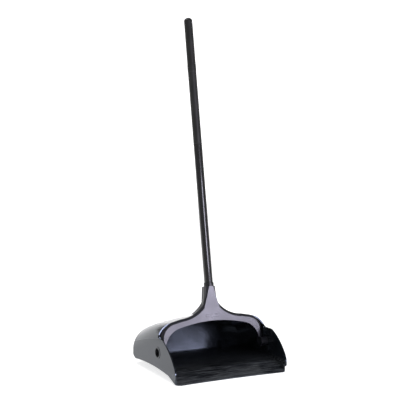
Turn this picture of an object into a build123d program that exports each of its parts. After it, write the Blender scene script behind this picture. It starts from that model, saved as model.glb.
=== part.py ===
"""Upright lobby dust pan: a hooded pan on two small wheels, carried by a bail yoke and a tube handle.

Frame: +Z up, the pan's mouth faces -Y, X runs across the pan, the floor is Z = 0.
The origin is on the floor, midway across the pan and midway between its lip and its back.
All lengths are millimetres.
"""
from build123d import *
from math import atan2, cos, degrees, radians, sin, sqrt, tan
import os

# Pan shell
pan_half_width = 161.0
lip_y = -144.0
back_y = 144.0
wall = 3.0
crown_radius = 565.0
# y, crown height and shoulder radius of the hood's sections, from the mouth to the back
hood_stations = ((-164, 147, 52), (-20, 143.5, 52), (60, 127, 59), (150, 94, 62))
back_round = 28.0
ear_top_z = 98.0
ramp_top_y = -86.0  # where the bowed floor gives way to the ramp
rib_width, rib_height, rib_thick = 7.0, 22.0, 2.5
panel_foot_y = 102.0  # the back panel rises from here to its top, leaning backwards
panel_top_y, panel_top_z = 124.0, 98.0

# Hinge between the pan and the yoke
pivot_y = -34.5
pivot_z = 60.5
lean = 10.5  # degrees the handle leans back when it rests on the hood
pin_radius = 12.5
running_gap = 0.05
ring_radius = 15.5
ring_height = 0.8
hub_radius = 12.0
shank_radius = 10.4
washer_thickness = 0.8
side_play = 0.2
barrel_start = pan_half_width - wall - side_play
hub_end = barrel_start - washer_thickness

# Yoke, measured along the handle from the hinge axis
rim_offset = -1.5  # hood rim, ahead of the hinge plane
yoke_back = -2.0  # where the neck passes in front of the hood
yoke_front = -0.5
face_rise = 12.8 / 157.0  # the front face leans forward by this much per mm of height
nest_depth = 8.0  # the arms stand this far behind the hinge plane, inside the hood
nest_gap = 1.2
hood_height = 86.0  # top of the hood's rim, measured along the handle
arm_in, arm_out = 138.5, 149.5
arch_top = 67.5
neck_back = 15.0
socket_top = 157.0
socket_floor = 122.0
neck_radius = 14.0
bevel_width, bevel_depth = 7.0, 4.5
plaque_height = 81.0
plaque_width, plaque_depth = 38.0, 7.0
plaque_recess = 0.6

# Handle
tube_radius = 11.6
tube_wall = 1.1
collar_radius = 13.2
collar_top = 167.0
grip_start = 532.0
ring_start = 727.0
ring_end = 747.0
cap_start = 861.0
handle_end = 874.0
grip_radius = 11.3
swaged_radius = 10.2
spigot_radius = 9.4  # the tube's lower end, drawn down to fit the socket
ring_out = 11.7
plug_radius = spigot_radius - tube_wall
screw_height = 140.0
screw_seat = 14.6
screw_radius = 1.9
screw_head_radius = 3.4
screw_length = 20.0

# Rear wheels
wheel_radius = 11.0
wheel_y = 112.0
wheel_in, wheel_out = 93.0, 113.0
cheek = 2.5
well_front, well_top = 86.0, 37.0
bead_y, bead_z, bead_radius = 104.5, 20.2, 1.4  # stiffening bead across the floor between the wells
wheel_gap = 1.0
axle_radius = 2.5
axle_head_radius = 3.8

os.makedirs("parts", exist_ok=True)

pivot = Vector(0, pivot_y, pivot_z)
handle_dir = Vector(0, sin(radians(lean)), cos(radians(lean)))
back_dir = Vector(0, cos(radians(lean)), -sin(radians(lean)))
handle_axis = Axis(pivot, handle_dir)


def front_plane(offset):
    """Plane across the handle's front: local x is X, local y climbs the handle, offset is backwards."""
    return Plane(origin=pivot + back_dir * offset, x_dir=(1, 0, 0), z_dir=back_dir * -1)


def side_plane(x):
    """Plane square to X at the given x: local x is Y, local y is Z."""
    return Plane.YZ.offset(x)


def save(part, name):
    part.label = name
    export_step(part, f"parts/{name}.step")


def hood_section(y, crown_z, shoulder_radius, inset):
    """Arch across the pan at one station: straight walls, round shoulders and a slightly crowned top."""
    half = pan_half_width - inset
    crown_r = crown_radius - inset
    shoulder_r = shoulder_radius - inset
    crown_c = crown_z - crown_radius
    shoulder_x = half - shoulder_r
    shoulder_z = crown_c + sqrt((crown_r - shoulder_r) ** 2 - shoulder_x**2)
    turn = degrees(atan2(shoulder_z - crown_c, shoulder_x))
    with BuildSketch(Plane.XZ.offset(-y)) as section:
        with BuildLine():
            Line((0, -40), (half, -40))
            Line((half, -40), (half, shoulder_z))
            CenterArc((shoulder_x, shoulder_z), shoulder_r, 0, turn)
            CenterArc((0, crown_c), crown_r, turn, 90 - turn)
            mirror(about=Plane.YZ)
        make_face()
    return section.sketch


def hood_block(inset):
    """Solid of the pan's arched section, sweeping down towards the back, with its rear edges rounded."""
    with BuildPart() as block:
        loft([hood_section(y, crown_z, radius, inset) for y, crown_z, radius in hood_stations])
        split(bisect_by=Plane.XZ.offset(inset - back_y), keep=Keep.TOP)
        rear = block.faces().sort_by(Axis.Y)[-1]
        fillet(rear.edges().sort_by(Axis.Z)[1:], back_round - inset)
    return block.part


def rim_y(z, offset=rim_offset):
    """Where the hood's leaning front rim stands at height z."""
    return pivot_y + offset / cos(radians(lean)) + (z - pivot_z) * tan(radians(lean))


def pan_outline():
    """Side outline of the pan: bowed floor, rounded foot at the back, hood rim and falling cheek."""
    with BuildSketch(side_plane(0)) as outline:
        with BuildLine():
            floor_line = ThreePointArc((-131, 11.5), (-14, 21.5), (104, 15.5))
            foot = ThreePointArc(floor_line @ 1, (128, 28), (146, 54))
            Line(foot @ 1, (148, 200))
            Line((148, 200), (rim_y(200), 200))
            rim = Line((rim_y(200), 200), (rim_y(ear_top_z), ear_top_z))
            top = Line(rim @ 1, (-58, ear_top_z))
            slope = ThreePointArc(top @ 1, (-104, 71.5), (-133, 39))
            nose = TangentArc(slope @ 1, (-138, 20), tangent=slope % 1)
            ThreePointArc(nose @ 1, (-136.5, 14.5), floor_line @ 0)
        make_face()
        ear = outline.vertices().filter_by(lambda v: abs(v.Y - ear_top_z) < 0.01).sort_by(Axis.X)
        fillet(ear[1], 8)
        fillet(ear[0], 12)
    return outline.sketch


def cavity_outline():
    """Side outline of the space inside the pan, from its open mouth to the sloping back panel."""
    with BuildSketch(side_plane(0)) as outline:
        with BuildLine():
            floor_line = ThreePointArc((-131, 14.5), (-14, 24.5), (panel_foot_y, 18.7))
            Polyline(floor_line @ 1, (panel_foot_y + 3, 22), (panel_top_y, panel_top_z), (panel_top_y, 200),
                     (-170, 200), (-170, 14.5), floor_line @ 0)
        make_face()
    return outline.sketch


def wheel_bay_outline():
    """Side outline of the space behind the back panel, open below, where the wheels stand."""
    with BuildSketch(side_plane(0)) as outline:
        with BuildLine():
            Polyline((panel_foot_y + 3, 0), (panel_foot_y + 6, 21), (panel_top_y + 3, panel_top_z),
                     (panel_top_y + 3, 200), (back_y, 200), (back_y, 0), (panel_foot_y + 3, 0))
        make_face()
    return outline.sketch


def lip_plate():
    """Thin ramp from the floor's front down to the lip, with rounded corners and a hollow edge."""
    half = pan_half_width - wall + 0.5
    front_half = 146.0
    with BuildPart() as plate:
        with BuildSketch(side_plane(0)):
            with BuildLine():
                Polyline((lip_y, 0), (-134, 0), (ramp_top_y, 17.3), (ramp_top_y, 20.3), (lip_y, 1.2), (lip_y, 0))
            make_face()
        extrude(amount=half, both=True)
        for side in (-1, 1):
            with BuildSketch(side_plane(side * half)):
                with BuildLine():
                    Polyline((-140, 1), (-134, 0), (ramp_top_y, 17.3), (ramp_top_y, 21.5),
                             (-127, 17), (-136, 13), (-140, 1))
                make_face()
            extrude(amount=-side * wall)
        with BuildSketch(Plane.XY):
            with BuildLine():
                Polyline((-half, -80), (half, -80), (half, -128))
                ThreePointArc((half, -128), (half - 3.6, -138.5), (front_half, lip_y))
                ThreePointArc((front_half, lip_y), (0, lip_y + 5), (-front_half, lip_y))
                ThreePointArc((-front_half, lip_y), (3.6 - half, -138.5), (-half, -128))
                Line((-half, -128), (-half, -80))
            make_face()
        extrude(amount=40, mode=Mode.INTERSECT)
    return plate.part


def wheel_well(side):
    """Moulded box over one rear wheel, with the cheeks that carry its axle."""
    lo, hi = wheel_in - wheel_gap - cheek, wheel_out + wheel_gap + cheek
    with BuildPart() as well:
        with BuildSketch(side_plane(side * lo)):
            with BuildLine():
                Polyline((well_front, well_top - 6), (well_front + 6, well_top), (132, well_top), (132, 20), (126, 14),
                         (118, 4.5), (106, 4.5), (96, 16), (well_front, 18), (well_front, well_top - 6))
            make_face()
        extrude(amount=side * (hi - lo))
    return well.part


def wheel_pocket(side):
    """Clear space round one rear wheel, open below."""
    lo, hi = wheel_in - wheel_gap, wheel_out + wheel_gap
    reach = wheel_radius + 1.2
    with BuildPart() as pocket:
        with BuildSketch(side_plane(side * lo)):
            with Locations((wheel_y, wheel_radius)):
                Circle(reach)
            with Locations((wheel_y, wheel_radius - 10)):
                Rectangle(2 * reach, 20)
        extrude(amount=side * (hi - lo))
    return pocket.part


def pan_body():
    outer = hood_block(0)
    inner = hood_block(wall)
    with BuildPart() as cavity:
        add(inner)
        extrude(cavity_outline(), amount=200, both=True, mode=Mode.INTERSECT)
    with BuildPart() as bay:
        add(inner)
        extrude(wheel_bay_outline(), amount=200, both=True, mode=Mode.INTERSECT)
    with BuildPart() as pan:
        add(outer)
        extrude(pan_outline(), amount=200, both=True, mode=Mode.INTERSECT)
        add(cavity.part, mode=Mode.SUBTRACT)
        add(bay.part, mode=Mode.SUBTRACT)
        with BuildSketch(Plane.XY):
            with Locations((0, ramp_top_y - 40)):
                Rectangle(2 * (pan_half_width - wall), 80)
        extrude(amount=40, mode=Mode.SUBTRACT)
        add(lip_plate())
        with BuildSketch(side_plane(0)):
            with Locations((bead_y, bead_z)):
                Circle(bead_radius)
        extrude(amount=wheel_in - cheek, both=True)
        for side in (-1, 1):
            add(wheel_well(side))
            with BuildSketch(side_plane(side * (pan_half_width - wall))):
                with Locations((pivot_y, pivot_z)):
                    Circle(ring_radius)
            extrude(amount=side * (wall + ring_height))
            with BuildSketch(side_plane(side * (pan_half_width - wall - 5))):
                with Locations((pivot_y - 12.5, pivot_z - 18.6)):
                    Circle(8.2)
                    Circle(5.6, mode=Mode.SUBTRACT)
            extrude(amount=side * 6)
            with BuildSketch(front_plane(rim_offset)):
                with Locations((side * (pan_half_width - wall - rib_width / 2 + 0.5), 27)):
                    Rectangle(rib_width, rib_height)
            extrude(amount=rib_thick)
        for side in (-1, 1):
            add(wheel_pocket(side), mode=Mode.SUBTRACT)
            with BuildSketch(side_plane(side * (wheel_in - 10))):
                with Locations((wheel_y, wheel_radius)):
                    Circle(axle_radius + running_gap)
            extrude(amount=side * 45, mode=Mode.SUBTRACT)
            with BuildSketch(side_plane(side * 150)):
                with Locations((pivot_y, pivot_z)):
                    Circle(pin_radius + running_gap)
            extrude(amount=side * 20, mode=Mode.SUBTRACT)
    return pan.part


def wheel(side):
    """Solid nylon wheel with a rounded tread and a shallow dish on each face."""
    with BuildPart() as tyre:
        with BuildSketch(side_plane(side * wheel_in)):
            with Locations((wheel_y, wheel_radius)):
                Circle(wheel_radius)
        extrude(amount=side * (wheel_out - wheel_in))
        fillet(tyre.edges(), 1.5)
        for x, way in ((wheel_in, 1), (wheel_out, -1)):
            with BuildSketch(side_plane(side * x)):
                with Locations((wheel_y, wheel_radius)):
                    Circle(wheel_radius - 2.6)
                    Circle(axle_radius + 2, mode=Mode.SUBTRACT)
            extrude(amount=side * way * 1.6, mode=Mode.SUBTRACT)
        with BuildSketch(side_plane(side * wheel_in)):
            with Locations((wheel_y, wheel_radius)):
                Circle(axle_radius + running_gap)
        extrude(amount=side * (wheel_out - wheel_in), mode=Mode.SUBTRACT)
    return tyre.part


def axle(side):
    """Headed steel pin through both cheeks of one wheel well."""
    head = 1.2
    inner = wheel_in - wheel_gap - cheek
    outer = wheel_out + wheel_gap + cheek
    with BuildPart() as pin:
        with BuildSketch(side_plane(side * (inner - head))):
            with Locations((wheel_y, wheel_radius)):
                Circle(axle_head_radius)
        extrude(amount=side * head)
        with BuildSketch(side_plane(side * inner)):
            with Locations((wheel_y, wheel_radius)):
                Circle(axle_radius)
        extrude(amount=side * (outer - inner + 2))
        chamfer(pin.faces().sort_by(Axis.X)[0 if side < 0 else -1].edges(), 0.5)
    return pin.part


def axle_clips():
    """Push-on clips that hold the outer end of each axle."""
    outer = wheel_out + wheel_gap + cheek
    with BuildPart() as clips:
        for side in (-1, 1):
            with BuildSketch(side_plane(side * outer)):
                with Locations((wheel_y, wheel_radius)):
                    Circle(axle_head_radius)
                    Circle(axle_radius, mode=Mode.SUBTRACT)
            extrude(amount=side * 0.9)
    return clips.part


def bail_outline():
    """Front outline of the bail with its arch still closed: arms, shoulders and rising neck."""
    with BuildSketch() as outline:
        with BuildLine():
            Line((0, -4), (arm_out, -4))
            Line((arm_out, -4), (arm_out - 1, 28))
            ThreePointArc((arm_out - 1, 28), (138.5, 59), (112, 73.5))
            Line((112, 73.5), (88, 78.5))
            ThreePointArc((88, 78.5), (46, 91), (18, 116))
            Line((18, 116), (13, socket_top))
            Line((13, socket_top), (0, socket_top))
            mirror(about=Plane.YZ)
        make_face()
    return outline.sketch


def arch_outline():
    """Opening between the arms, narrowing into the shallow arch under the neck."""
    with BuildSketch() as outline:
        with BuildLine():
            Polyline((0, -30), (arm_in, -30), (arm_in, -4), (arm_in - 1.5, 12))
            ThreePointArc((arm_in - 1.5, 12), (123, 40), (95, 55.5))
            ThreePointArc((95, 55.5), (48, 64.3), (0, arch_top))
            mirror(about=Plane.YZ)
        make_face()
    return outline.sketch


def bail_front():
    """Plane of the bail's flat face, leaning a little further forward than the handle."""
    tilt = degrees(atan2(face_rise, 1))
    return Plane(front_plane(yoke_front).origin, x_dir=(1, 0, 0), z_dir=(back_dir * -1).rotate(Axis.X, tilt))


def hood_keep_out():
    """Space the bail leaves free for the hood: everything behind the rim but the nest inside it."""
    with BuildPart() as keep:
        with BuildSketch(front_plane(40)):
            with Locations((0, hood_height / 2 - 10)):
                Rectangle(400, hood_height + 23)
        extrude(amount=40 - yoke_back)
        add(hood_block(wall + nest_gap), mode=Mode.SUBTRACT)
    return keep.part


def bail_plate(face):
    """Arms, arch and neck as one thick plate, bevelled along its outer front edges."""
    with BuildPart() as plate:
        extrude(front_plane(nest_depth) * bail_outline(), amount=24)
        split(bisect_by=face, keep=Keep.BOTTOM)
        front = plate.faces().sort_by(Axis(face.origin, face.z_dir))[-1]
        rim = front.edges().sort_by(handle_axis)[1:-1]
        chamfer(rim, bevel_width, bevel_depth, reference=front)
        extrude(front_plane(30) * arch_outline(), amount=60, mode=Mode.SUBTRACT)
    return plate.part


def yoke():
    face = bail_front()
    with BuildPart() as bail:
        with BuildSketch(front_plane(neck_back)):
            add(bail_outline())
            with Locations((0, 120)):
                Rectangle(108, 88, mode=Mode.INTERSECT)
        extrude(amount=neck_back - yoke_back)
        add(hood_block(-1), mode=Mode.SUBTRACT)
        with BuildSketch(front_plane(0)):
            with BuildLine():
                Polyline((0, 95), (17, 95), (24, 102))
                ThreePointArc((24, 102), (20.6, 115), (17.4, 128))
                Polyline((17.4, 128), (neck_radius, socket_top), (0, socket_top), (0, 95))
            make_face()
        revolve(axis=handle_axis)
        split(bisect_by=face, keep=Keep.BOTTOM)
        add(bail_plate(face))
        add(hood_keep_out(), mode=Mode.SUBTRACT)
        for side in (-1, 1):
            with BuildSketch(side_plane(side * (arm_in + 1))):
                with Locations((pivot_y, pivot_z)):
                    Circle(hub_radius)
            extrude(amount=side * (hub_end - arm_in - 1))
            with BuildSketch(side_plane(side * (arm_in - 5))):
                with Locations((pivot_y, pivot_z)):
                    Circle(shank_radius)
            extrude(amount=side * 30, mode=Mode.SUBTRACT)
        with BuildSketch(front_plane(0)):
            with BuildLine():
                Polyline((0, socket_floor), (spigot_radius, socket_floor), (spigot_radius, socket_top), (0, socket_top),
                         (0, socket_floor))
            make_face()
        revolve(axis=handle_axis, mode=Mode.SUBTRACT)
        with BuildSketch(face):
            with Locations((0, plaque_height)):
                RectangleRounded(plaque_width, plaque_depth, 2)
            with Locations((0, 133)):
                SlotOverall(10, 1.4)
        extrude(amount=-plaque_recess, mode=Mode.SUBTRACT)
        with BuildSketch(front_plane(screw_seat)):
            with Locations((0, screw_height)):
                Circle(screw_head_radius + 0.6)
        extrude(amount=-6, mode=Mode.SUBTRACT)
        with BuildSketch(front_plane(screw_seat)):
            with Locations((0, screw_height)):
                Circle(screw_radius)
        extrude(amount=screw_seat, mode=Mode.SUBTRACT)
    return bail.part


def yoke_plaque():
    """Plain raised plate on the bail's face."""
    with BuildPart() as plate:
        with BuildSketch(bail_front().offset(-plaque_recess)):
            with Locations((0, plaque_height)):
                RectangleRounded(plaque_width, plaque_depth, 2)
        extrude(amount=2 * plaque_recess)
        fillet(plate.faces().sort_by(Axis.Y)[0].edges(), 0.4)
    return plate.part


def pivot_pin(side):
    """Hollow hinge pin: its barrel turns in the pan's wall and its shank is pressed into the yoke."""
    barrel_end = pan_half_width + ring_height - 0.2
    with BuildPart() as pin:
        for x, radius, length in ((141, shank_radius, barrel_start - 141),
                                  (barrel_start, pin_radius, barrel_end - barrel_start)):
            with BuildSketch(side_plane(side * x)):
                with Locations((pivot_y, pivot_z)):
                    Circle(radius)
            extrude(amount=side * length)
        for depth, radius in ((3.4, pin_radius - 1.2), (19, shank_radius - 1.2)):
            with BuildSketch(side_plane(side * barrel_end)):
                with Locations((pivot_y, pivot_z)):
                    Circle(radius)
            extrude(amount=-side * depth, mode=Mode.SUBTRACT)
    return pin.part


def pivot_washer(side):
    with BuildPart() as washer:
        with BuildSketch(side_plane(side * hub_end)):
            with Locations((pivot_y, pivot_z)):
                Circle(hub_radius - 0.4)
                Circle(shank_radius, mode=Mode.SUBTRACT)
        extrude(amount=side * washer_thickness)
    return washer.part


def turned(*points):
    """Solid turned round the handle axis from (radius, height along the handle) points."""
    with BuildPart() as piece:
        with BuildSketch(front_plane(0)):
            with BuildLine():
                Polyline(*points, close=True)
            make_face()
        revolve(axis=handle_axis)
    return piece.part


def screw_hole(depth):
    """Cutter for the fixing screw, reaching forwards from its seat on the back of the socket."""
    with BuildPart() as cutter:
        with BuildSketch(front_plane(screw_seat)):
            with Locations((0, screw_height)):
                Circle(screw_radius)
        extrude(amount=depth)
    return cutter.part


def handle_tube():
    bore, swaged_bore = tube_radius - tube_wall, swaged_radius - tube_wall
    with BuildPart() as tube:
        add(turned((plug_radius, socket_floor), (spigot_radius, socket_floor), (spigot_radius, socket_top),
                   (tube_radius, socket_top), (tube_radius, grip_start), (swaged_radius, grip_start),
                   (swaged_radius, cap_start), (swaged_bore, cap_start), (swaged_bore, grip_start + 1),
                   (bore, grip_start - 3), (bore, socket_top + 3), (plug_radius, socket_top - 1)))
        add(screw_hole(screw_seat), mode=Mode.SUBTRACT)
    return tube.part


def tube_plug():
    with BuildPart() as plug:
        add(turned((0, socket_floor), (plug_radius, socket_floor), (plug_radius, 152), (0, 152)))
        add(screw_hole(screw_length), mode=Mode.SUBTRACT)
    return plug.part


def socket_screw():
    """Pan-head screw through the back of the socket, the tube and the plug."""
    with BuildPart() as screw:
        with BuildSketch(front_plane(screw_seat)):
            with Locations((0, screw_height)):
                Circle(screw_radius)
        extrude(amount=screw_length)
        with BuildSketch(front_plane(screw_seat)):
            with Locations((0, screw_height)):
                Circle(screw_head_radius)
        extrude(amount=-1.8)
        fillet(screw.faces().sort_by(Axis.Y)[-1].edges(), 0.8)
        with BuildSketch(front_plane(screw_seat + 1.8)):
            with Locations((0, screw_height)):
                Rectangle(3.6, 0.8)
                Rectangle(0.8, 3.6)
        extrude(amount=1.1, mode=Mode.SUBTRACT)
    return screw.part


def socket_collar():
    return turned((tube_radius, socket_top), (collar_radius, socket_top), (collar_radius, collar_top - 1),
                  (collar_radius - 0.6, collar_top), (tube_radius, collar_top))


def grip_sleeve(start, end):
    return turned((swaged_radius, start), (grip_radius - 0.3, start), (grip_radius, start + 0.4),
                  (grip_radius, end - 0.4), (grip_radius - 0.3, end), (swaged_radius, end))


def grip_ring():
    edge = 2
    return turned((swaged_radius, ring_start), (grip_radius, ring_start), (ring_out, ring_start + edge),
                  (ring_out, ring_end - edge), (grip_radius, ring_end), (swaged_radius, ring_end))


def end_cap():
    """Domed plug that closes the top of the handle."""
    rim_end = cap_start + 5
    dome = handle_end - rim_end
    dome_radius = (grip_radius**2 + dome**2) / (2 * dome)
    half_way = grip_radius / 2
    half_way_up = handle_end - dome_radius + sqrt(dome_radius**2 - half_way**2)
    with BuildPart() as cap:
        with BuildSketch(front_plane(0)):
            with BuildLine():
                Polyline((0, cap_start - 20), (swaged_radius - tube_wall, cap_start - 20),
                         (swaged_radius - tube_wall, cap_start), (grip_radius, cap_start), (grip_radius, rim_end))
                ThreePointArc((grip_radius, rim_end), (half_way, half_way_up), (0, handle_end))
                Line((0, handle_end), (0, cap_start - 20))
            make_face()
        revolve(axis=handle_axis)
    return cap.part


save(pan_body(), "pan_body")
for side, name in ((-1, "left"), (1, "right")):
    save(wheel(side), f"wheel_{name}")
    save(axle(side), f"axle_{name}")
    save(pivot_pin(side), f"pivot_pin_{name}")
    save(pivot_washer(side), f"pivot_washer_{name}")
save(axle_clips(), "axle_clips")
save(yoke(), "yoke")
save(yoke_plaque(), "yoke_plaque")
save(handle_tube(), "handle_tube")
save(tube_plug(), "tube_plug")
save(socket_screw(), "socket_screw")
save(socket_collar(), "socket_collar")
save(grip_sleeve(grip_start, ring_start), "grip_lower")
save(grip_ring(), "grip_ring")
save(grip_sleeve(ring_end, cap_start), "grip_upper")
save(end_cap(), "end_cap")
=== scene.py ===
import bpy
import bmesh
import math
from mathutils import Matrix, Vector


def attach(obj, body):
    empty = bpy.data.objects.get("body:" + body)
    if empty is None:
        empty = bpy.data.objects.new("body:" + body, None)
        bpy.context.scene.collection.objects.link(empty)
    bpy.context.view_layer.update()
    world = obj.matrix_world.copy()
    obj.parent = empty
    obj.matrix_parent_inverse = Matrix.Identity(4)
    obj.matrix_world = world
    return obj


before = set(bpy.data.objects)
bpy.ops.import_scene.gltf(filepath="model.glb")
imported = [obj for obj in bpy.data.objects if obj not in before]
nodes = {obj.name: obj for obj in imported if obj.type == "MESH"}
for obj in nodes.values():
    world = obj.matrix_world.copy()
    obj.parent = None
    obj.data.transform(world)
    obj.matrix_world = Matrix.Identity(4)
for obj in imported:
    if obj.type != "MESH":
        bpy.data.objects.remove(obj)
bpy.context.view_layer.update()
print("frame loaded,", len(nodes), "parts")

# the handle leans back from the hinge; the rings on it are placed along this line
hinge = {"y": -0.0345, "z": 0.0605, "lean": math.radians(10.5)}
hingePoint = Vector((0, hinge["y"], hinge["z"]))
toHandleFrame = Matrix.Translation(hingePoint) @ Matrix.Rotation(-hinge["lean"], 4, "X")


def linear(hexColour):
    channels = [int(hexColour[i:i + 2], 16) / 255 for i in (1, 3, 5)]
    return tuple(c / 12.92 if c <= 0.04045 else ((c + 0.055) / 1.055) ** 2.4 for c in channels) + (1.0,)


def addNode(tree, kind, settings=None, links=None):
    node = tree.nodes.new("ShaderNode" + kind)
    for key, value in (settings or {}).items():
        if isinstance(key, int) or key in node.inputs:
            node.inputs[key].default_value = value
        else:
            setattr(node, key, value)
    for key, socket in (links or {}).items():
        tree.links.new(socket, node.inputs[key])
    return node


def newMaterial(name, fixed):
    material = bpy.data.materials.new(name)
    material.use_nodes = True
    tree = material.node_tree
    shader = tree.nodes["Principled BSDF"]
    for key, value in fixed.items():
        shader.inputs[key].default_value = value
    place = addNode(tree, "TexCoord").outputs["Object"]
    return material, tree, shader, place


def twoTone(tree, factor, low, high, start=0.35, end=0.65):
    ramp = addNode(tree, "ValToRGB", links={"Fac": factor})
    ramp.color_ramp.elements[0].position = start
    ramp.color_ramp.elements[1].position = end
    ramp.color_ramp.elements[0].color = linear(low)
    ramp.color_ramp.elements[1].color = linear(high)
    return ramp.outputs["Color"]


# Polypropylene, injection moulded in a polished tool: black with a clear shine, a faint pebble
# and slow changes of tone where the melt cooled at different speeds
def mouldedPolypropylene(name, look):
    # the colour on Specular Tint paints a cool cast into the reflections; it stands in for the colour of the
    # studio light, not a colour of the plastic
    material, tree, shader, place = newMaterial(name, {
        "IOR": 1.49, "Specular IOR Level": look["specular"], "Specular Tint": linear(look["paintedReflectionTint"])})
    flow = addNode(tree, "TexNoise", {"Scale": 1 / look["flowSize"], "Detail": 3.0}, {"Vector": place})
    tone = twoTone(tree, flow.outputs["Fac"], look["dark"], look["light"])
    # the real pebble is 0.3 mm across, too fine to show, so it is drawn at grainSize
    grain = addNode(tree, "TexNoise", {"Scale": 1 / look["grainSize"], "Detail": 2.0}, {"Vector": place})
    gloss = addNode(tree, "MapRange", {"From Min": 0.3, "From Max": 0.7, "To Min": look["rough"][0],
                                       "To Max": look["rough"][1]}, {"Value": flow.outputs["Fac"]})
    bump = addNode(tree, "Bump", {"Strength": look["bump"], "Distance": 0.0004},
                   {"Height": grain.outputs["Fac"]})
    colour = tone
    if "scuff" in look:  # dusty streaks that a brush leaves along the lip, thickest on the ramp
        scuff = look["scuff"]
        stretch = addNode(tree, "Mapping", {
            "Scale": (1 / scuff["length"], 1 / scuff["gap"], 1 / scuff["gap"])}, {"Vector": place})
        scratch = addNode(tree, "TexNoise", {"Scale": 1.0, "Detail": 4.0, "Roughness": 0.7},
                          {"Vector": stretch.outputs["Vector"]})
        axes = addNode(tree, "SeparateXYZ", links={"Vector": place})
        nearLip = addNode(tree, "MapRange", {
            "From Min": scuff["fadeY"], "From Max": scuff["lipY"], "To Min": 0.0, "To Max": 1.0},
            {"Value": axes.outputs["Y"]})
        onFloor = addNode(tree, "MapRange", {
            "From Min": scuff["clearZ"], "From Max": scuff["floorZ"], "To Min": 0.0, "To Max": 1.0},
            {"Value": axes.outputs["Z"]})
        where = addNode(tree, "Math", {"operation": "MULTIPLY"},
                        {0: nearLip.outputs["Result"], 1: onFloor.outputs["Result"]})
        streak = addNode(tree, "MapRange", {
            "From Min": 0.42, "From Max": 0.66, "To Min": 0.0, "To Max": scuff["amount"]},
            {"Value": scratch.outputs["Fac"]})
        worn = addNode(tree, "Math", {"operation": "MULTIPLY"},
                       {0: streak.outputs["Result"], 1: where.outputs["Value"]})
        mix = addNode(tree, "Mix", {"data_type": "RGBA", 7: linear(scuff["colour"])},
                      {0: worn.outputs["Value"], 6: tone})
        colour = mix.outputs[2]
    tree.links.new(colour, shader.inputs["Base Color"])
    tree.links.new(gloss.outputs["Result"], shader.inputs["Roughness"])
    tree.links.new(bump.outputs["Normal"], shader.inputs["Normal"])
    return material


# painted reflection tint in the looks below: bluish for the pan, faint lavender for the yoke and plaque
panPlastic = mouldedPolypropylene("mouldedPolypropylenePan", {
    "dark": "#0f1114", "light": "#171a1e", "flowSize": 0.07, "grainSize": 0.0016, "bump": 0.10,
    "rough": (0.09, 0.15), "specular": 0.6, "paintedReflectionTint": "#d2dff2",
    "scuff": {"gap": 0.004, "length": 0.06, "fadeY": 0.1, "lipY": -0.144, "clearZ": 0.034, "floorZ": 0.022,
              "amount": 0.8, "colour": "#55585a"}})
yokePlastic = mouldedPolypropylene("mouldedPolypropyleneYoke", {
    "dark": "#15151a", "light": "#1d1d23", "flowSize": 0.05, "grainSize": 0.0016, "bump": 0.07,
    "rough": (0.26, 0.33), "specular": 0.65, "paintedReflectionTint": "#f6f5fa"})
plaquePlastic = mouldedPolypropylene("mouldedPolypropylenePlaque", {
    "dark": "#1c1c21", "light": "#232329", "flowSize": 0.02, "grainSize": 0.0012, "bump": 0.04,
    "rough": (0.22, 0.28), "specular": 0.6, "paintedReflectionTint": "#f6f5fa"})


# Acetal, turned smooth in the mould: a harder, slightly waxy black for pins, cap and ring
def mouldedAcetal(name, dark, light, rough):
    material, tree, shader, place = newMaterial(name, {"IOR": 1.48})
    cloud = addNode(tree, "TexNoise", {"Scale": 1 / 0.012, "Detail": 2.0}, {"Vector": place})
    fine = addNode(tree, "TexNoise", {"Scale": 1 / 0.0009, "Detail": 1.0}, {"Vector": place})
    bump = addNode(tree, "Bump", {"Strength": 0.05, "Distance": 0.0002}, {"Height": fine.outputs["Fac"]})
    gloss = addNode(tree, "MapRange", {"To Min": rough - 0.04, "To Max": rough + 0.04},
                    {"Value": cloud.outputs["Fac"]})
    tree.links.new(twoTone(tree, cloud.outputs["Fac"], dark, light), shader.inputs["Base Color"])
    tree.links.new(gloss.outputs["Result"], shader.inputs["Roughness"])
    tree.links.new(bump.outputs["Normal"], shader.inputs["Normal"])
    return material


pinAcetal = mouldedAcetal("acetalHingePin", "#121316", "#1a1c20", 0.34)
capAcetal = mouldedAcetal("acetalCapAndRing", "#141414", "#1d1d1d", 0.40)
collarAcetal = mouldedAcetal("acetalSocketCollar", "#101013", "#17171b", 0.24)
washerNylon = mouldedAcetal("nylonWasher", "#2a2b2d", "#34363a", 0.50)
plugPolythene = mouldedAcetal("polythenePlug", "#303030", "#3a3a3a", 0.55)
wheelNylon = mouldedAcetal("nylonWheel", "#161719", "#222427", 0.48)


# Steel tube under a baked black enamel: deep gloss with a trace of orange peel
# and hair scratches along it
def enamelledTube(look):
    material, tree, shader, place = newMaterial("bakedEnamelTube", {
        "IOR": 1.5, "Coat Weight": 0.6, "Coat Roughness": 0.06, "Coat IOR": 1.5})
    peel = addNode(tree, "TexNoise", {"Scale": 1 / look["peelSize"], "Detail": 1.0}, {"Vector": place})
    bump = addNode(tree, "Bump", {"Strength": 0.04, "Distance": 0.0003}, {"Height": peel.outputs["Fac"]})
    along = addNode(tree, "Mapping", {"Scale": (1 / 0.0008, 1 / 0.0008, 1 / 0.09)}, {"Vector": place})
    hair = addNode(tree, "TexNoise", {"Scale": 1.0, "Detail": 3.0}, {"Vector": along.outputs["Vector"]})
    gloss = addNode(tree, "MapRange", {"From Min": 0.35, "From Max": 0.7, "To Min": look["rough"][0],
                                       "To Max": look["rough"][1]}, {"Value": hair.outputs["Fac"]})
    tone = twoTone(tree, hair.outputs["Fac"], look["dark"], look["light"])
    tree.links.new(tone, shader.inputs["Base Color"])
    tree.links.new(gloss.outputs["Result"], shader.inputs["Roughness"])
    tree.links.new(bump.outputs["Normal"], shader.inputs["Normal"])
    return material


tubeEnamel = enamelledTube({"dark": "#09090b", "light": "#101013", "peelSize": 0.0025, "rough": (0.16, 0.26)})


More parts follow.
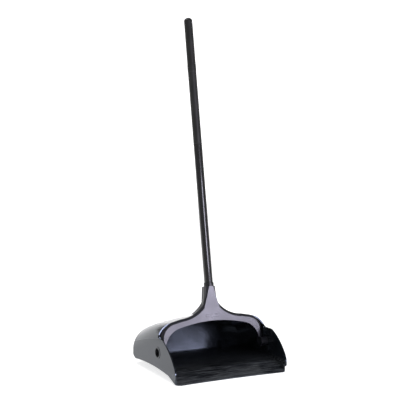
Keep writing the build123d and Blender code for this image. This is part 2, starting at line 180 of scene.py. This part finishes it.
# Plasticised PVC, dip-moulded over the tube: dull black with a leathery grain
# and patches polished by the palm
def dippedVinyl(look):
    material, tree, shader, place = newMaterial("dippedVinylGrip", {"IOR": 1.53, "Sheen Weight": 0.03,
                                                                    "Sheen Roughness": 0.5})
    grain = addNode(tree, "TexVoronoi", {"Scale": 1 / look["grainSize"], "feature": "SMOOTH_F1"},
                    {"Vector": place})
    palm = addNode(tree, "TexNoise", {"Scale": 1 / look["palmSize"], "Detail": 2.0}, {"Vector": place})
    bump = addNode(tree, "Bump", {"Strength": look["bump"], "Distance": 0.0004},
                   {"Height": grain.outputs["Distance"]})
    gloss = addNode(tree, "MapRange", {"From Min": 0.3, "From Max": 0.7, "To Min": look["rough"][0],
                                       "To Max": look["rough"][1]}, {"Value": palm.outputs["Fac"]})
    tone = twoTone(tree, palm.outputs["Fac"], look["dark"], look["light"])
    tree.links.new(tone, shader.inputs["Base Color"])
    tree.links.new(gloss.outputs["Result"], shader.inputs["Roughness"])
    tree.links.new(bump.outputs["Normal"], shader.inputs["Normal"])
    return material


gripVinyl = dippedVinyl({"dark": "#0b0b0b", "light": "#131313", "grainSize": 0.0016, "palmSize": 0.06,
                         "bump": 0.18, "rough": (0.36, 0.5)})


# Mild steel with bright zinc plating: pale, slightly blue, lightly brushed by handling
def zincPlate():
    material, tree, shader, place = newMaterial("zincPlatedSteel", {"Metallic": 1.0})
    spangle = addNode(tree, "TexNoise", {"Scale": 1 / 0.002, "Detail": 4.0}, {"Vector": place})
    gloss = addNode(tree, "MapRange", {"To Min": 0.22, "To Max": 0.42}, {"Value": spangle.outputs["Fac"]})
    bump = addNode(tree, "Bump", {"Strength": 0.08, "Distance": 0.0001}, {"Height": spangle.outputs["Fac"]})
    tree.links.new(twoTone(tree, spangle.outputs["Fac"], "#9a9ea4", "#b9bcc0"), shader.inputs["Base Color"])
    tree.links.new(gloss.outputs["Result"], shader.inputs["Roughness"])
    tree.links.new(bump.outputs["Normal"], shader.inputs["Normal"])
    return material


zincSteel = zincPlate()

finishes = {
    "pan_body": panPlastic, "yoke": yokePlastic, "yoke_plaque": plaquePlastic,
    "pivot_pin_left": pinAcetal, "pivot_pin_right": pinAcetal,
    "pivot_washer_left": washerNylon, "pivot_washer_right": washerNylon,
    "wheel_left": wheelNylon, "wheel_right": wheelNylon,
    "axle_left": zincSteel, "axle_right": zincSteel, "axle_clips": zincSteel, "socket_screw": zincSteel,
    "socket_collar": collarAcetal, "tube_plug": plugPolythene, "handle_tube": tubeEnamel,
    "grip_lower": gripVinyl, "grip_upper": gripVinyl, "grip_ring": capAcetal, "end_cap": capAcetal}
for nodeName, material in finishes.items():
    mesh = nodes[nodeName].data
    mesh.materials.clear()
    mesh.materials.append(material)
print("finishes set on", len(finishes), "parts")


def finishPiece(bm, name, material, body, smooth=True):
    bmesh.ops.remove_doubles(bm, verts=bm.verts, dist=1e-6)
    bmesh.ops.recalc_face_normals(bm, faces=bm.faces)
    mesh = bpy.data.meshes.new(name)
    bm.to_mesh(mesh)
    bm.free()
    for face in mesh.polygons:
        face.use_smooth = smooth
    mesh.materials.append(material)
    piece = bpy.data.objects.new(name, mesh)
    bpy.context.scene.collection.objects.link(piece)
    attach(piece, body)
    return piece


# the pan's cut edges are rolled over: a bead follows each falling cheek
cheekEdge = {"x": 0.1595, "top": (-0.062, 0.0965), "middle": (-0.104, 0.0715), "foot": (-0.133, 0.039),
             "radius": 0.0017, "steps": 24}


def arcCentre(first, second, third):
    middle, other = Vector(second) - Vector(first), Vector(third) - Vector(first)
    twice = 2 * middle.cross(other)
    offset = Vector((other.y * middle.length_squared - middle.y * other.length_squared,
                     middle.x * other.length_squared - other.x * middle.length_squared)) / twice
    return Vector(first) + offset


def rolledCheekEdge(side):
    centre = arcCentre(cheekEdge["top"], cheekEdge["middle"], cheekEdge["foot"])
    start, end = Vector(cheekEdge["top"]) - centre, Vector(cheekEdge["foot"]) - centre
    sweep = math.atan2(end.y, end.x) - math.atan2(start.y, start.x)
    facing = Matrix.Rotation(math.atan2(start.y, start.x), 4, "X")
    place = Matrix.Translation((side * cheekEdge["x"], *cheekEdge["top"])) @ facing
    bm = bmesh.new()
    ring = bmesh.ops.create_circle(bm, segments=12, radius=cheekEdge["radius"], matrix=place)["verts"]
    edges = list({edge for vert in ring for edge in vert.link_edges})
    bmesh.ops.spin(bm, geom=ring + edges, cent=(side * cheekEdge["x"], centre.x, centre.y), axis=(1, 0, 0),
                   angle=sweep, steps=cheekEdge["steps"])
    bmesh.ops.holes_fill(bm, edges=[edge for edge in bm.edges if edge.is_boundary])
    return bm


for side, sideName in ((-1, "left"), (1, "right")):
    finishPiece(rolledCheekEdge(side), "cheek_edge_" + sideName, panPlastic, "pan")

# gate nub and ejector marks that the mould leaves on the leaning back panel
mouldMarks = {"gate": (0.004, 0.056), "gateRadius": 0.0022, "pins": (-0.095, -0.032, 0.032, 0.095),
              "pinHeight": 0.064, "pinRadius": 0.0042, "pinProud": 0.0003}
panelFace = {"foot": (0.105, 0.022), "top": (0.124, 0.098)}
panelLean = math.atan2(panelFace["top"][0] - panelFace["foot"][0], panelFace["top"][1] - panelFace["foot"][1])


def onPanel(x, z):  # local +Z points out of the panel, towards the mouth
    y = panelFace["foot"][0] + (z - panelFace["foot"][1]) * math.tan(panelLean)
    return Matrix.Translation((x, y, z)) @ Matrix.Rotation(math.pi / 2 - panelLean, 4, "X")


gateNub = bmesh.new()
bmesh.ops.create_uvsphere(gateNub, u_segments=16, v_segments=8, radius=mouldMarks["gateRadius"],
                          matrix=onPanel(*mouldMarks["gate"]) @ Matrix.Diagonal((1, 1, 0.5, 1)))
finishPiece(gateNub, "gate_nub", panPlastic, "pan")
pinMarks = bmesh.new()
for x in mouldMarks["pins"]:
    bmesh.ops.create_cone(pinMarks, cap_ends=True, segments=24, radius1=mouldMarks["pinRadius"],
                          radius2=mouldMarks["pinRadius"] * 0.94, depth=2 * mouldMarks["pinProud"],
                          matrix=onPanel(x, mouldMarks["pinHeight"]))
finishPiece(pinMarks, "ejector_marks", panPlastic, "pan", smooth=False)

# rolled ends of the lower grip sleeve, and a parting line round the ring above it:
# height along the handle, radius and thickness
handleRings = {
    "grip_lower_lip": (0.5335, 0.0109, 0.0009, "grip_vinyl"),
    "grip_upper_lip": (0.7255, 0.0109, 0.0008, "grip_vinyl"),
    "ring_parting_line": (0.737, 0.0115, 0.0004, "ring_plastic")}
ringMaterials = {"grip_vinyl": gripVinyl, "ring_plastic": capAcetal}
for ringName, (height, radius, thickness, slot) in handleRings.items():
    bm = bmesh.new()
    place = toHandleFrame @ Matrix.Translation((radius, 0, height)) @ Matrix.Rotation(math.pi / 2, 4, "X")
    circle = bmesh.ops.create_circle(bm, segments=10, radius=thickness, matrix=place)["verts"]
    edges = list({edge for vert in circle for edge in vert.link_edges})
    bmesh.ops.spin(bm, geom=circle + edges, cent=hingePoint, axis=toHandleFrame.to_3x3() @ Vector((0, 0, 1)),
                   angle=2 * math.pi, steps=48, use_merge=True)
    finishPiece(bm, ringName, ringMaterials[slot], "handle")
print("edge beads, mould marks and grip rings made")


# studio: pale floor, two soft boxes in front and to the right, one overhead
# the glow keeps the far floor as white as the backdrop
floorLook = {"size": 40.0, "colour": "#fafafa", "glow": 0.75}
floorMesh = bmesh.new()
bmesh.ops.create_grid(floorMesh, x_segments=1, y_segments=1, size=floorLook["size"])
floorData = bpy.data.meshes.new("floor")
floorMesh.to_mesh(floorData)
floorMesh.free()
floor = bpy.data.objects.new("floor", floorData)
bpy.context.scene.collection.objects.link(floor)
floorMaterial = newMaterial("matteBackdrop", {
    "Roughness": 0.9, "Base Color": linear(floorLook["colour"]),
    "Emission Color": linear(floorLook["colour"]), "Emission Strength": floorLook["glow"]})[0]
floorData.materials.append(floorMaterial)

# an upright backdrop behind the object gives the shoulders of the hood their grazing shine
backdropLook = {"distance": 6.0, "width": 16.0, "height": 1.7, "heading": math.radians(27.6)}
backdropMesh = bmesh.new()
standing = Matrix.Rotation(-backdropLook["heading"], 4, "Z") @ Matrix.Translation(
    (0, backdropLook["distance"], backdropLook["height"] / 2)) @ Matrix.Rotation(math.pi / 2, 4, "X")
stretched = Matrix.Diagonal((backdropLook["width"], backdropLook["height"], 1, 1))
bmesh.ops.create_grid(backdropMesh, x_segments=1, y_segments=1, size=0.5, matrix=standing @ stretched)
backdropData = bpy.data.meshes.new("backdrop")
backdropMesh.to_mesh(backdropData)
backdropMesh.free()
backdrop = bpy.data.objects.new("backdrop", backdropData)
bpy.context.scene.collection.objects.link(backdrop)
backdropData.materials.append(floorMaterial)

# a white backdrop, in a room whose walls and ceiling send back little light
studioLook = {"backdrop": 1.1, "room": 0.3}
world = bpy.data.worlds.new("studioRoom")
world.use_nodes = True
room = world.node_tree
room.nodes["Background"].inputs["Color"].default_value = linear("#ffffff")
seen = addNode(room, "LightPath").outputs["Is Camera Ray"]
level = addNode(room, "MapRange", {"To Min": studioLook["room"], "To Max": studioLook["backdrop"]},
                {"Value": seen})
room.links.new(level.outputs["Result"], room.nodes["Background"].inputs["Strength"])
bpy.context.scene.world = world
bpy.context.scene.view_settings.view_transform = "Standard"


def areaLight(name, place, target, size, power, colour="#ffffff"):
    lamp = bpy.data.lights.new(name, "AREA")
    lamp.shape = "RECTANGLE"
    lamp.size, lamp.size_y = size
    lamp.energy = power
    lamp.color = linear(colour)[:3]
    light = bpy.data.objects.new(name, lamp)
    light.location = place
    light.rotation_euler = (Vector(target) - Vector(place)).to_track_quat("-Z", "Y").to_euler()
    bpy.context.scene.collection.objects.link(light)


areaLight("frontRightBox", (1.12, -2.6, 0.31), (0, -0.05, 0.12), (0.95, 0.5), 38, "#e3e0f4")
areaLight("frontTallBox", (0.1, -2.6, 1.0), (0, -0.05, 0.3), (0.7, 0.5), 16, "#e3e0f4")
areaLight("topBox", (-0.4, 0.9, 2.6), (0, 0, 0.1), (2.2, 1.6), 24)
print("studio lit")

camera = bpy.data.objects.new("camera", bpy.data.cameras.new("camera"))
camera.data.lens = 86.86
camera.data.sensor_width = 36
camera.data.clip_start = 0.05
right, up, back = (0.8864, -0.4629, 0.0064), (0.0377, 0.0859, 0.9955), (-0.4614, -0.8822, 0.0936)
camera.matrix_world = Matrix((
    (right[0], up[0], back[0], -1.2064), (right[1], up[1], back[1], -2.3020),
    (right[2], up[2], back[2], 0.6672), (0, 0, 0, 1)))
bpy.context.scene.collection.objects.link(camera)
bpy.context.scene.camera = camera
